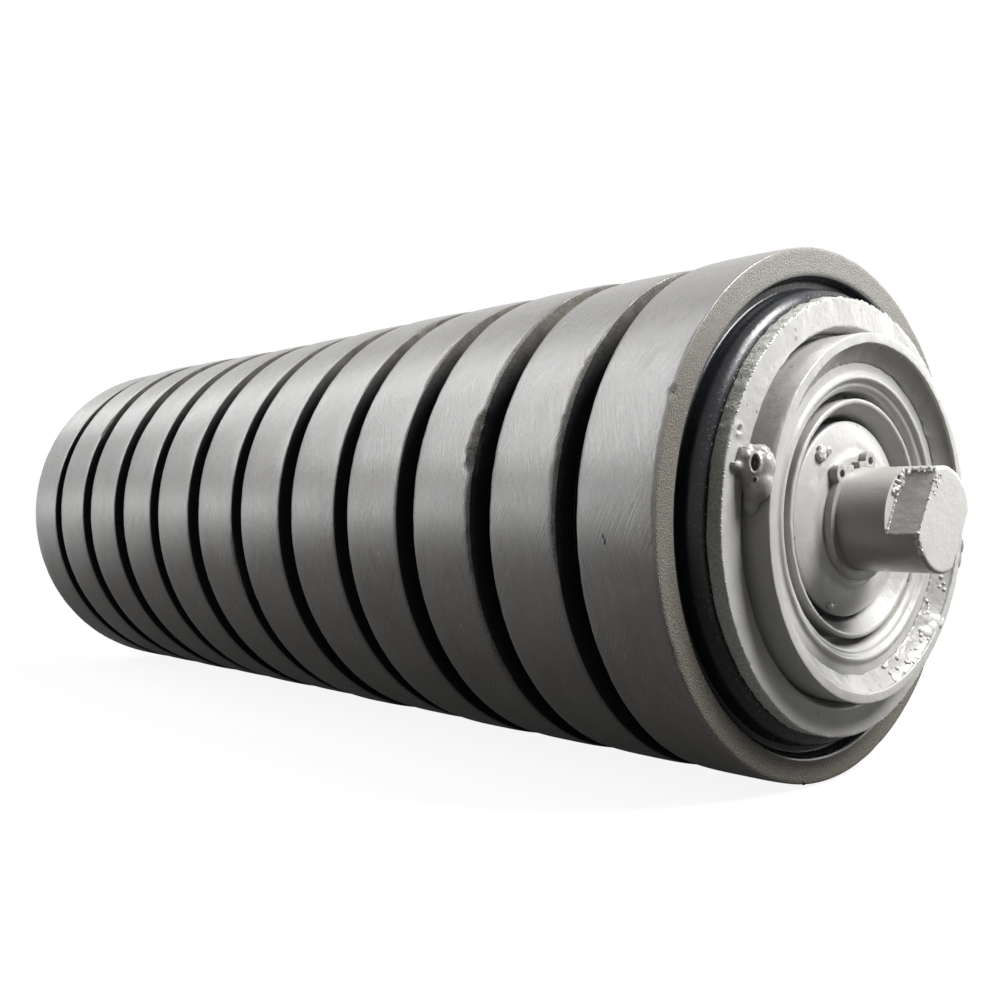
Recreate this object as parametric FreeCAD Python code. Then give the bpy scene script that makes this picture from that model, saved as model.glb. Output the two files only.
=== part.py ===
import FreeCAD
import Part
import math
import os

# Impact conveyor roller. Rubber rings sit side by side on a steel tube, and the tube turns on a
# fixed shaft through a ball bearing, a pressed housing and a labyrinth seal at each end.
# Millimetres. X is the shaft's axis, Z is up, and the origin is the middle of the roller.

# Shaft
SHAFT_DIAMETER = 25.0
SHAFT_PROUD = 17.0
SHAFT_ROUND = 1.0
FLAT_ACROSS = 18.0
FLAT_LENGTH = 8.0
FLAT_LEAN = 28.7

# Ball bearing
BEARING_SECTION = 18.5
BEARING_WIDTH = 17.0
BEARING_INSET = 18.0
BALL_COUNT = 7
BALL_DIAMETER = 11.5
LAND_OFFSET = 3.45
TRACK_CLEARANCE = 0.1
RACE_EDGE = 1.0
CAGE_WALL = 2.6
CAGE_RIM = 0.8
POCKET_CLEARANCE = 0.25

# Bearing housing, pressed from sheet and folded back against the tube
HOUSING_WALL = 3.0
FOLD_GAP = 5.0
SKIRT_LENGTH = 9.0
CREST_INSET = 4.0
CREST_BEVEL = 3.0
CREST_SLOPE = 2.4
CREST_ROUND = 1.8
FOLD_BEVEL = 1.2
HOUSING_HOLE_DIAMETER = 35.0
PRESS_ROUND = 4.0

# Seals
INNER_SEAL_WIDTH = 5.0
INNER_SEAL_WEB = 2.0
SEAL_RIM = 4.0
SHAFT_CLEARANCE = 0.5
LABYRINTH_LENGTH = 9.5
LABYRINTH_GAP = 1.0
LABYRINTH_HUB_WALL = 2.5
LABYRINTH_WEB = 2.0
CUP_STANDOFF = 0.6
CUP_LENGTH = 13.2
CUP_SEAT_LENGTH = 5.5
LIP_GAP = 1.8
LIP_WALL = 1.2
LIP_ROUND = 0.4
LIP_FLARE = 3.0
LIP_FLARE_LENGTH = 4.7

# Dust cover and circlip
COVER_THICKNESS = 2.1
COVER_RIM = 0.8
COVER_BOSS_WALL = 3.0
COVER_BOSS_HEIGHT = 0.9
COVER_FALL = 3.4
COVER_ROUND = 4.0
CIRCLIP_THICKNESS = 2.0
CIRCLIP_DEPTH = 0.6
CIRCLIP_WIDTH = 2.6
CIRCLIP_OFFSET = 0.5
CIRCLIP_GAP = 2.6
CIRCLIP_ANGLE = 75.0
LUG_SPREAD = 27.0
LUG_RADIUS = 2.4
LUG_HOLE_DIAMETER = 2.0
GROOVE_PLAY = 0.1

# Tube
TUBE_WALL = 2.5
TUBE_PROUD = 10.0
TUBE_EDGE = 0.6

# Rubber rings
RING_COUNT = 12
RING_PITCH = 30.0
TREAD_GAP = 7.0
HUB_WALL = 12.0
SHOULDER_ROUND = 3.5
GROOVE_WIDTH = 3.0
GROOVE_DEPTH = 3.0
GROOVE_TAPER = 0.75
GROOVE_ROUND = 1.2
FACE_WIDTH = 7.0

# End collars and welds
COLLAR_WIDTH = 9.0
COLLAR_THICKNESS = 4.0
COLLAR_CLEARANCE = 0.2
COLLAR_BEVEL_WIDTH = 3.0
COLLAR_BEVEL_DEPTH = 1.5
TACK_ANGLES = (16.0, 196.0)
TACK_PUDDLES = 3
TACK_STEP = 4.0
TACK_RADIUS = 4.6
TACK_RISE = 0.4
WELD_INSET = 1.0
WELD_LEG = 4.2
WELD_THROAT = 1.0
WELD_ROUND = 2.5

# Radii, from the shaft outwards
shaft_radius = SHAFT_DIAMETER / 2
ball_radius = BALL_DIAMETER / 2
seat_radius = shaft_radius + BEARING_SECTION
pitch_radius = (shaft_radius + seat_radius) / 2
track_radius = ball_radius + TRACK_CLEARANCE
tube_inner_radius = seat_radius + 2 * HOUSING_WALL + FOLD_GAP
tube_radius = tube_inner_radius + TUBE_WALL
hub_radius = tube_radius + HUB_WALL
face_radius = hub_radius + GROOVE_WIDTH
ring_radius = face_radius + FACE_WIDTH
collar_radius = tube_radius + COLLAR_WIDTH
lip_outer_radius = seat_radius - LIP_GAP
lip_inner_radius = lip_outer_radius - LIP_WALL
mouth_radius = lip_inner_radius - LIP_FLARE
labyrinth_hub_radius = shaft_radius + LABYRINTH_HUB_WALL
rib_wall = (mouth_radius - labyrinth_hub_radius - 3 * LABYRINTH_GAP) / 2
cover_radius = mouth_radius - LABYRINTH_GAP
groove_radius = shaft_radius - CIRCLIP_DEPTH

# Stations along the axis at the right-hand end, from the rings out to the shaft's end
stack_end = RING_COUNT * RING_PITCH / 2
tube_end = stack_end + TUBE_PROUD
shaft_end = tube_end + SHAFT_PROUD
bearing_front = tube_end - BEARING_INSET
bearing_back = bearing_front - BEARING_WIDTH
bearing_middle = (bearing_front + bearing_back) / 2
housing_shoulder = bearing_back - INNER_SEAL_WIDTH
crest = tube_end - CREST_INSET
lip_front = bearing_front + CUP_LENGTH
lip_foot = lip_front - LIP_FLARE_LENGTH
cup_web_back = bearing_front + CUP_STANDOFF
cup_web_front = cup_web_back + LABYRINTH_WEB
cover_back = bearing_front + LABYRINTH_LENGTH
cover_face = cover_back + COVER_THICKNESS
circlip_back = cover_face + COVER_BOSS_HEIGHT
labyrinth_web_back = cover_back - LABYRINTH_WEB

ORIGIN = FreeCAD.Vector(0, 0, 0)
AXIS = FreeCAD.Vector(1, 0, 0)
UP = FreeCAD.Vector(0, 0, 1)


def outline(corners):
    """Face in the plane of the axis from corners (x, radius, rounding), each rounded by a tangent arc."""
    arcs = []
    for index, (x, radius, rounding) in enumerate(corners):
        before = corners[index - 1]
        after = corners[(index + 1) % len(corners)]
        corner = FreeCAD.Vector(x, 0, radius)
        back = (FreeCAD.Vector(before[0], 0, before[1]) - corner).normalize()
        ahead = (FreeCAD.Vector(after[0], 0, after[1]) - corner).normalize()
        half_angle = back.getAngle(ahead) / 2
        set_back = rounding / math.tan(half_angle)
        inward = (back + ahead).normalize() if rounding else FreeCAD.Vector()
        middle = corner + inward * (rounding / math.sin(half_angle) - rounding)
        arcs.append((corner + back * set_back, middle, corner + ahead * set_back, rounding))
    edges = []
    for index, (start, middle, end, rounding) in enumerate(arcs):
        if rounding:
            edges.append(Part.Arc(start, middle, end).toShape())
        edges.append(Part.LineSegment(end, arcs[(index + 1) % len(arcs)][0]).toShape())
    return Part.Face(Part.Wire(edges))


def turned(corners, angle=360):
    """Solid of revolution about the shaft's axis."""
    return outline(corners).revolve(ORIGIN, AXIS, angle)


def around(angle, radius, x=0.0):
    """Point at a radius from the axis; 0 degrees faces -Y and 90 faces up."""
    turn = math.radians(angle)
    return FreeCAD.Vector(x, -radius * math.cos(turn), radius * math.sin(turn))


def disc(radius, x, length, centre=ORIGIN):
    """Cylinder along the axis that starts at x."""
    return Part.makeCylinder(radius, length, FreeCAD.Vector(x, centre.y, centre.z), AXIS)


def shaft():
    """Round bar with eased ends, and two flats and a circlip groove at each end."""
    corners = [(-shaft_end, 0, 0), (-shaft_end, shaft_radius, SHAFT_ROUND)]
    corners += [(shaft_end, shaft_radius, SHAFT_ROUND), (shaft_end, 0, 0)]
    bar = turned(corners)
    groove_length = CIRCLIP_THICKNESS + GROOVE_PLAY
    for start in (circlip_back, -circlip_back - groove_length):
        groove = disc(SHAFT_DIAMETER, start, groove_length).cut(disc(groove_radius, start, groove_length))
        bar = bar.cut(groove)
    for start in (shaft_end - FLAT_LENGTH, -shaft_end):
        for lean in (FLAT_LEAN, FLAT_LEAN + 180):
            waste = Part.makeBox(FLAT_LENGTH, SHAFT_DIAMETER, SHAFT_DIAMETER)
            waste.translate(FreeCAD.Vector(start, -FLAT_ACROSS / 2 - SHAFT_DIAMETER, -shaft_radius))
            waste.rotate(ORIGIN, AXIS, -lean)
            bar = bar.cut(waste)
    return bar


def tube():
    """Steel tube that carries the rings, with its rims eased inside and out."""
    eased = tube_end - TUBE_EDGE
    rim_outer = tube_radius - TUBE_EDGE
    rim_inner = tube_inner_radius + TUBE_EDGE
    corners = [(-tube_end, rim_inner, 0), (-tube_end, rim_outer, 0), (-eased, tube_radius, 0)]
    corners += [(eased, tube_radius, 0), (tube_end, rim_outer, 0), (tube_end, rim_inner, 0)]
    corners += [(eased, tube_inner_radius, 0), (-eased, tube_inner_radius, 0)]
    return turned(corners)


def rubber_ring(middle):
    """Ring with a flat tread and sides, undercut grooves and a rounded hub that meets its neighbours."""
    half_tread = (RING_PITCH - TREAD_GAP) / 2
    half_hub = RING_PITCH / 2
    groove_floor = half_tread - GROOVE_DEPTH
    side = [(half_tread, ring_radius, 0), (half_tread, face_radius, GROOVE_ROUND)]
    side += [(groove_floor, face_radius - GROOVE_TAPER, 0), (groove_floor, hub_radius, 0)]
    side += [(half_hub, hub_radius, SHOULDER_ROUND), (half_hub, tube_radius, 0)]
    right = [(middle + x, radius, rounding) for x, radius, rounding in side]
    left = [(middle - x, radius, rounding) for x, radius, rounding in reversed(side)]
    return turned(right + left)


def end_collar():
    """Flat steel ring that holds the rings on the tube, bevelled where it is welded."""
    bore = tube_radius + COLLAR_CLEARANCE
    front = stack_end + COLLAR_THICKNESS
    corners = [(stack_end, bore, 0), (stack_end, collar_radius, 0), (front, collar_radius, 0)]
    corners += [(front, bore + COLLAR_BEVEL_WIDTH, 0), (front - COLLAR_BEVEL_DEPTH, bore, 0)]
    return turned(corners)


def collar_weld():
    """Short tacks between collar and tube, each a run of overlapping puddles."""
    front = stack_end + COLLAR_THICKNESS
    reach = 2 * TACK_RADIUS
    behind = disc(collar_radius, front - reach, reach - COLLAR_BEVEL_DEPTH)
    inside = disc(tube_radius, front - reach, 2 * reach)
    middle = (TACK_PUDDLES - 1) / 2
    tacks = []
    for angle in TACK_ANGLES:
        turns = [angle + TACK_STEP * (index - middle) for index in range(TACK_PUDDLES)]
        places = [around(turn, tube_radius + TACK_RISE, front) for turn in turns]
        puddles = [Part.makeSphere(TACK_RADIUS, place) for place in places]
        tacks.append(puddles[0].fuse(puddles[1:]).cut([behind, inside, end_collar()]))
    return Part.makeCompound(tacks)


def bearing_housing():
    """Pressed cup: a skirt against the tube folds over a rounded crest into the bearing's seat."""
    skirt_inner = tube_inner_radius - HOUSING_WALL
    seat_outer = seat_radius + HOUSING_WALL
    skirt_end = crest - CREST_BEVEL - SKIRT_LENGTH
    fold = crest - HOUSING_WALL
    base = housing_shoulder - HOUSING_WALL
    hole = HOUSING_HOLE_DIAMETER / 2
    corners = [(skirt_end, tube_inner_radius, 0), (crest - CREST_BEVEL, tube_inner_radius, 0)]
    corners += [(crest, tube_inner_radius - CREST_BEVEL, CREST_ROUND)]
    corners += [(crest, seat_radius + CREST_SLOPE, CREST_ROUND)]
    corners += [(crest - CREST_SLOPE, seat_radius, 0), (housing_shoulder, seat_radius, 0)]
    corners += [(housing_shoulder, hole, 0), (base, hole, 0), (base, seat_outer, PRESS_ROUND)]
    corners += [(fold - FOLD_BEVEL, seat_outer, 0), (fold, (seat_outer + skirt_inner) / 2, 0)]
    corners += [(fold - FOLD_BEVEL, skirt_inner, 0), (skirt_end, skirt_inner, 0)]
    return turned(corners)


def housing_weld():
    """Hollow fillet all round between the tube's mouth and the housing's crest."""
    corners = [(crest - CREST_BEVEL, tube_inner_radius, 0), (tube_end - WELD_INSET, tube_inner_radius, 0)]
    corners += [(crest + WELD_THROAT, tube_inner_radius - WELD_THROAT, WELD_ROUND)]
    corners += [(crest, tube_inner_radius - WELD_LEG, 0)]
    corners += [(crest, tube_inner_radius - CREST_BEVEL, CREST_ROUND)]
    return turned(corners)


def race(wall_radius, land_radius):
    """Bearing race between its seat and its land, with the ball track turned into the land."""
    inner, outer = sorted((wall_radius, land_radius))
    edges = {wall_radius: RACE_EDGE, land_radius: 0}
    corners = [(bearing_back, inner, edges[inner]), (bearing_front, inner, edges[inner])]
    corners += [(bearing_front, outer, edges[outer]), (bearing_back, outer, edges[outer])]
    track = Part.makeTorus(pitch_radius, track_radius, FreeCAD.Vector(bearing_middle, 0, 0), AXIS)
    return turned(corners).cut(track)


def ball_places():
    """Centres of one bearing's balls."""
    step = 360 / BALL_COUNT
    return [around(step * index, pitch_radius, bearing_middle) for index in range(BALL_COUNT)]


def bearing_balls():
    """One bearing's balls, on the pitch circle."""
    return Part.makeCompound([Part.makeSphere(ball_radius, place) for place in ball_places()])


def bearing_cage():
    """Ring that spaces the balls, with a spherical pocket for each."""
    half_width = ball_radius + CAGE_RIM
    inner = pitch_radius - CAGE_WALL / 2
    outer = pitch_radius + CAGE_WALL / 2
    left, right = bearing_middle - half_width, bearing_middle + half_width
    cage = turned([(left, inner, 0), (right, inner, 0), (right, outer, 0), (left, outer, 0)])
    return cage.cut([Part.makeSphere(ball_radius + POCKET_CLEARANCE, place) for place in ball_places()])


def inner_seal():
    """Flat seal behind the bearing that keeps its grease in; its rim spaces the bearing off the housing."""
    web_front = housing_shoulder + INNER_SEAL_WEB
    bore = shaft_radius + SHAFT_CLEARANCE
    rim = seat_radius - SEAL_RIM
    corners = [(housing_shoulder, bore, 0), (web_front, bore, 0), (web_front, rim, 0)]
    corners += [(bearing_back, rim, 0), (bearing_back, seat_radius, 0), (housing_shoulder, seat_radius, 0)]
    return turned(corners)


def labyrinth_cup():
    """Outer half of the labyrinth, pressed into the housing, with a rib inside and a flared lip in front."""
    rib_inner = labyrinth_hub_radius + LABYRINTH_GAP
    rib_outer = rib_inner + rib_wall
    rib_front = labyrinth_web_back - LABYRINTH_GAP
    seat_front = bearing_front + CUP_SEAT_LENGTH
    rim = seat_radius - SEAL_RIM
    corners = [(bearing_front, rim, 0), (bearing_front, seat_radius, 0), (seat_front, seat_radius, 0)]
    corners += [(seat_front, lip_outer_radius, 0), (lip_front, lip_outer_radius, LIP_ROUND)]
    corners += [(lip_front, lip_inner_radius, LIP_ROUND), (lip_foot, mouth_radius, 0)]
    corners += [(cup_web_front, mouth_radius, 0), (cup_web_front, rib_outer, 0)]
    corners += [(rib_front, rib_outer, 0), (rib_front, rib_inner, 0)]
    corners += [(cup_web_back, rib_inner, 0), (cup_web_back, rim, 0)]
    return turned(corners)


def labyrinth_ring():
    """Inner half of the labyrinth, on the shaft, whose rib runs in the cup."""
    rib_outer = mouth_radius - LABYRINTH_GAP
    rib_inner = rib_outer - rib_wall
    rib_back = cup_web_front + LABYRINTH_GAP
    corners = [(bearing_front, shaft_radius, 0), (bearing_front, labyrinth_hub_radius, 0)]
    corners += [(labyrinth_web_back, labyrinth_hub_radius, 0), (labyrinth_web_back, rib_inner, 0)]
    corners += [(rib_back, rib_inner, 0), (rib_back, rib_outer, 0), (cover_back, rib_outer, 0)]
    corners += [(cover_back, shaft_radius, 0)]
    return turned(corners)


def dust_cover():
    """Domed steel disc with a low boss, which closes the labyrinth's mouth."""
    boss_radius = shaft_radius + COVER_BOSS_WALL
    rim_front = cover_back + COVER_RIM
    corners = [(cover_back, shaft_radius, 0), (circlip_back, shaft_radius, 0), (circlip_back, boss_radius, 0)]
    corners += [(cover_face, boss_radius + COVER_BOSS_HEIGHT, 0)]
    corners += [(cover_face, cover_radius - COVER_FALL, COVER_ROUND)]
    corners += [(rim_front, cover_radius, 0), (cover_back, cover_radius, 0)]
    return turned(corners)


def circlip():
    """Open spring ring in the shaft's groove, thickest opposite its two lugs."""
    ring_outer = groove_radius + CIRCLIP_WIDTH
    heavy_side = around(CIRCLIP_ANGLE + 180, CIRCLIP_OFFSET)
    ring = disc(ring_outer, circlip_back, CIRCLIP_THICKNESS, heavy_side)
    for spread in (-LUG_SPREAD, LUG_SPREAD):
        place = around(CIRCLIP_ANGLE + spread, ring_outer)
        lug = disc(LUG_RADIUS, circlip_back, CIRCLIP_THICKNESS, place)
        ring = ring.fuse(lug).cut(disc(LUG_HOLE_DIAMETER / 2, circlip_back, CIRCLIP_THICKNESS, place))
    ring = ring.cut(disc(groove_radius, circlip_back, CIRCLIP_THICKNESS))
    opening = Part.makeBox(CIRCLIP_THICKNESS, ring_outer + LUG_RADIUS, CIRCLIP_GAP)
    opening.translate(FreeCAD.Vector(circlip_back, -ring_outer - LUG_RADIUS, -CIRCLIP_GAP / 2))
    opening.rotate(ORIGIN, AXIS, -CIRCLIP_ANGLE)
    return ring.cut(opening).removeSplitter()


def write(name, shape):
    """Writes one piece under its own name."""
    shape.exportStep("parts/" + name + ".step")


END_PIECES = {
    "end_collar": end_collar,
    "collar_weld": collar_weld,
    "bearing_housing": bearing_housing,
    "housing_weld": housing_weld,
    "bearing_outer_race": lambda: race(seat_radius, pitch_radius + LAND_OFFSET),
    "bearing_inner_race": lambda: race(shaft_radius, pitch_radius - LAND_OFFSET),
    "bearing_balls": bearing_balls,
    "bearing_cage": bearing_cage,
    "inner_seal": inner_seal,
    "labyrinth_cup": labyrinth_cup,
    "labyrinth_ring": labyrinth_ring,
    "dust_cover": dust_cover,
    "circlip": circlip,
}

os.makedirs("parts", exist_ok=True)
write("shaft", shaft())
write("tube", tube())
for number in range(1, RING_COUNT + 1):
    write("rubber_ring_%02d" % number, rubber_ring(stack_end - (number - 0.5) * RING_PITCH))
for piece, make in END_PIECES.items():
    right_piece = make()
    write(piece + "_right", right_piece)
    left_piece = right_piece.copy()
    left_piece.rotate(ORIGIN, UP, 180)
    write(piece + "_left", left_piece)
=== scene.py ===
"""Impact conveyor roller: worn rubber rings on a welded tube, with enamelled bearing ends."""
import math
import random

import bmesh
import bpy
from bpy.props import FloatProperty, FloatVectorProperty, IntProperty, PointerProperty
from mathutils import Matrix, Vector, noise


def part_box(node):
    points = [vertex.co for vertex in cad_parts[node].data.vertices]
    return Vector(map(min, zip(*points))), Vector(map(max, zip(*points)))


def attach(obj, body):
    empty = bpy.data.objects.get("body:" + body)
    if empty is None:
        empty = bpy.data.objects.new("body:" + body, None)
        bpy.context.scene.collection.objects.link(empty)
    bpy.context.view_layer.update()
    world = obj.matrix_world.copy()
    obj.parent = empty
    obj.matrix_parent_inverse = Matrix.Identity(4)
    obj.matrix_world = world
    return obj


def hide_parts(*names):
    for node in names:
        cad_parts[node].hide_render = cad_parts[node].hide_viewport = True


bl_info = {
    "name": "Impact Roller",
    "version": (1, 0, 0),
    "blender": (4, 5, 0),
    "location": "3D View > Sidebar > Roller",
    "description": "Models the worn rubber, welded steel and enamel of an impact conveyor roller",
    "category": "Object",
}

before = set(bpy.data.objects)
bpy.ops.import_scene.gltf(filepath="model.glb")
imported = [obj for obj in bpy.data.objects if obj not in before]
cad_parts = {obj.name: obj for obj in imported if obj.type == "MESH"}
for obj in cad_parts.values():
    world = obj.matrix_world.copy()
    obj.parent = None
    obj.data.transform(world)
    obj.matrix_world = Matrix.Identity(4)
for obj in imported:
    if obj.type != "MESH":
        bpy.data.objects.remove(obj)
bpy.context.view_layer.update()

MM = 0.001
ENDS = ("right", "left")
RING_COUNT = sum(name.startswith("rubber_ring_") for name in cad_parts)
RING_LOW, RING_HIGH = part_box("rubber_ring_01")
TUBE_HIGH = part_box("tube")[1]
SHAFT_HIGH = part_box("shaft")[1]
COLLAR_LOW, COLLAR_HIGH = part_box("end_collar_right")
HOUSING_LOW, HOUSING_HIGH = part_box("bearing_housing_right")
CUP_LOW, CUP_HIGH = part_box("labyrinth_cup_right")
COVER_LOW, COVER_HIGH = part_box("dust_cover_right")
CLIP_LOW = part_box("circlip_right")[0]


def length(name, description, default):
    """A setting in metres."""
    return FloatProperty(name=name, description=description, default=default, unit="LENGTH", precision=5)


def colour(name, description, default):
    """A setting that holds a linear colour."""
    return FloatVectorProperty(name=name, description=description, default=default, subtype="COLOR",
                               min=0, max=1)


def share(name, description, default):
    """A setting between 0 and 1."""
    return FloatProperty(name=name, description=description, default=default, subtype="FACTOR", min=0, max=1)


def degrees(name, description, default):
    """A setting that holds an angle, given in degrees."""
    return FloatProperty(name=name, description=description, default=math.radians(default), subtype="ANGLE")


def watts(name, description, default):
    """A setting that holds the power of a lamp."""
    return FloatProperty(name=name, description=description, default=default, unit="POWER")


class RingSettings(bpy.types.PropertyGroup):
    """Sizes of the rubber rings."""
    radius: length("Radius", "Radius of the tread", RING_HIGH.z)
    pitch: length("Pitch", "Length of tube that one ring takes", RING_HIGH.x - RING_LOW.x)
    tread_width: length("Tread width", "Width of the tread", 23 * MM)
    face_width: length("Face width", "Height of the flat side face", 7 * MM)
    groove_width: length("Groove width", "Height of the undercut groove", 3 * MM)
    groove_depth: length("Groove depth", "Depth of the undercut groove", 3 * MM)
    shoulder_round: length("Shoulder round", "Rounding of the hub's shoulder", 3.5 * MM)
    edge_wear: length("Edge wear", "Width of the worn edge of a tread", 0.3 * MM)
    tear: length("Tear", "Depth of the wear along an edge", 0.25 * MM)
    segments: IntProperty(name="Segments", description="Faces round a ring", default=420, min=64)


class SteelSettings(bpy.types.PropertyGroup):
    """Sizes of the tube, the collars, the welds and the bearing ends."""
    tube_wall: length("Tube wall", "Wall of the tube", 2.5 * MM)
    rim_round: length("Rim round", "Rounding of the tube's rim", 0.35 * MM)
    collar_bevel: length("Collar bevel", "Width of the weld bevel inside a collar", 1.5 * MM)
    collar_gap: length("Collar gap", "Gap between a collar and the tube", 0.2 * MM)
    sheet: length("Sheet", "Sheet that the housings are pressed from", 3 * MM)
    lip_gap: length("Lip gap", "Gap round the seal cup's lip", 1.8 * MM)
    lip_wall: length("Lip wall", "Thickness of the seal cup's lip", 1.2 * MM)
    flat_across: length("Across flats", "Distance between the shaft's flats", 18 * MM)
    flat_length: length("Flat length", "Length of the shaft's flats", 8 * MM)
    flat_lean: degrees("Flat lean", "Turn of the flats about the shaft", 28.7)
    ripple: length("Ripple", "Height of the waves in pressed and painted steel", 0.12 * MM)
    segments: IntProperty(name="Segments", description="Faces round a steel piece", default=480, min=64)


class FinishSettings(bpy.types.PropertyGroup):
    """Colours of the surfaces."""
    tread: colour("Tread", "Worn, dusty tread", (0.142, 0.138, 0.132))
    stain: colour("Stain", "Dirt on the treads", (0.088, 0.079, 0.067))
    torn: colour("Torn rubber", "Rubber where an edge is torn", (0.07, 0.064, 0.054))
    face: colour("Side face", "Rough side face of a ring", (0.175, 0.163, 0.138))
    groove: colour("Groove", "Moulded rubber in the grooves", (0.014, 0.015, 0.018))
    enamel: colour("Enamel", "Glossy enamel on the steel", (0.385, 0.377, 0.36))
    shaft: colour("Shaft enamel", "Thin enamel on the shaft", (0.43, 0.421, 0.402))
    soot: colour("Soot", "Grime and soot on the enamel", (0.13, 0.12, 0.11))
    # Darker enamel over the welds; on the housing beads and the circlips it is partly painted shade, for the
    # shaded mouth of the tube and the shaft's shadow
    weld: colour("Weld", "Enamel over the welds", (0.27, 0.262, 0.247))
    steel: colour("Bearing steel", "Ground steel of the races and balls", (0.56, 0.57, 0.58))
    cage: colour("Cage steel", "Pressed steel of the ball cages", (0.42, 0.4, 0.37))
    plastic: colour("Seal plastic", "Moulded plastic of the seals", (0.03, 0.032, 0.035))


class StageSettings(bpy.types.PropertyGroup):
    """Camera, light and floor."""
    azimuth: degrees("Azimuth", "Turn of the camera round the roller", 47.786)
    elevation: degrees("Elevation", "Height of the camera above the horizon", 2.038)
    camera_place: FloatVectorProperty(name="Camera place", description="Where the camera stands",
                                      default=(0.33207, -0.25138, 0.00233), subtype="XYZ", unit="LENGTH")
    lens: FloatProperty(name="Lens", description="Focal length on a 36 mm sensor", default=40.962)
    shift: FloatProperty(name="Shift", description="Vertical shift of the lens", default=0.05)
    overhead: watts("Overhead light", "Power of the light above", 14)
    end: watts("End light", "Power of the light on the near end", 9)
    front: watts("Front light", "Power of the light in front", 25)
    side: watts("Side light", "Power of the light along the roller", 9)
    back: watts("Back light", "Power of the light behind", 8)
    ambient: share("Ambient", "Brightness of the surroundings to matt surfaces", 0.03)
    mirrored: share("Mirrored", "Brightness of the surroundings to glossy surfaces", 1.0)
    floor: share("Floor", "Share of light that the floor returns", 0.1)
    floor_near: share("Mirrored floor", "Brightness of the nearby floor to glossy surfaces", 0.04)
    floor_far: share("Mirrored far floor", "Brightness of the distant floor to glossy surfaces", 0.9)


# Colour sockets of a Mix node, whose names repeat
MIX_FIRST, MIX_SECOND, MIX_RESULT = 6, 7, 2


class Graph:
    """Adds nodes to a tree; an input given as a socket is linked and any other value is set."""

    def __init__(self, tree):
        self.tree = tree

    def fill(self, socket, value):
        if isinstance(value, bpy.types.NodeSocket):
            self.tree.links.new(value, socket)
        else:
            socket.default_value = value

    def add(self, kind, *values, props=None, **named):
        node = self.tree.nodes.new("ShaderNode" + kind)
        for key, value in (props or {}).items():
            setattr(node, key, value)
        for key, value in enumerate(values):
            self.fill(node.inputs[key], value)
        for key, value in named.items():
            self.fill(node.inputs[key.replace("_", " ")], value)
        return node

    def maths(self, operation, *values):
        return self.add("Math", *values, props={"operation": operation}).outputs[0]

    def vector(self, operation, *values, **named):
        return self.add("VectorMath", *values, props={"operation": operation}, **named).outputs

    def total(self, *parts):
        """Sum of (value, weight) pairs."""
        result = 0.0
        for value, weight in parts:
            result = self.maths("MULTIPLY_ADD", value, weight, result)
        return result

    def between(self, value, low, high):
        """0 below low, 1 above high, smooth between."""
        return self.add("MapRange", value, low, high, props={"interpolation_type": "SMOOTHSTEP"}).outputs[0]

    def ranged(self, mask, first, last):
        """Turns a mask from 0 to 1 into values from first to last."""
        return self.add("MapRange", mask, 0.0, 1.0, first, last).outputs[0]

    def blend(self, factor, first, second):
        node = self.add("Mix", factor, props={"data_type": "RGBA"})
        for index, value in ((MIX_FIRST, first), (MIX_SECOND, second)):
            self.fill(node.inputs[index], value if isinstance(value, bpy.types.NodeSocket) else (*value, 1))
        return node.outputs[MIX_RESULT]

    def layered(self, base, *layers):
        """Lays (mask, amount, colour) layers over a colour, in turn."""
        for mask, amount, tint in layers:
            base = self.blend(self.maths("MULTIPLY", mask, amount), base, tint)
        return base

    def group(self, name, **named):
        return self.add("Group", props={"node_tree": bpy.data.node_groups[name]}, **named).outputs

    def cloud(self, position, size, low, high):
        """Mask of soft patches about size millimetres across."""
        return self.group("Cloud", Position=position, Size=size, Low=low, High=high)["Mask"]

    def specks(self, position, size, chosen):
        """Mask of round specks, in a share of cells of size millimetres."""
        return self.group("Specks", Position=position, Size=size, Share=chosen)["Mask"]

    def grain(self, position, pitch, reach):
        """Height of lines turned round the axis."""
        return self.group("Turned Grain", Position=position, Pitch=pitch, Length=reach)["Height"]

    def bump(self, height, depth, strength):
        return self.add("Bump", Height=height, Distance=depth, Strength=strength).outputs[0]


def socket_type(label):
    """Positions are vectors, and all other sockets are numbers."""
    return "NodeSocketVector" if label == "Position" else "NodeSocketFloat"


def new_group(name, outputs, **inputs):
    """An empty shader node group with its sockets; gives its graph, its inputs and its output node."""
    tree = bpy.data.node_groups.new(name, "ShaderNodeTree")
    for label, default in inputs.items():
        socket = tree.interface.new_socket(name=label, in_out="INPUT", socket_type=socket_type(label))
        if default is not None:
            socket.default_value = default
    for label in outputs:
        tree.interface.new_socket(name=label, in_out="OUTPUT", socket_type=socket_type(label))
    given = tree.nodes.new("NodeGroupInput").outputs
    result = tree.nodes.new("NodeGroupOutput").inputs
    return Graph(tree), given, result


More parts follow.
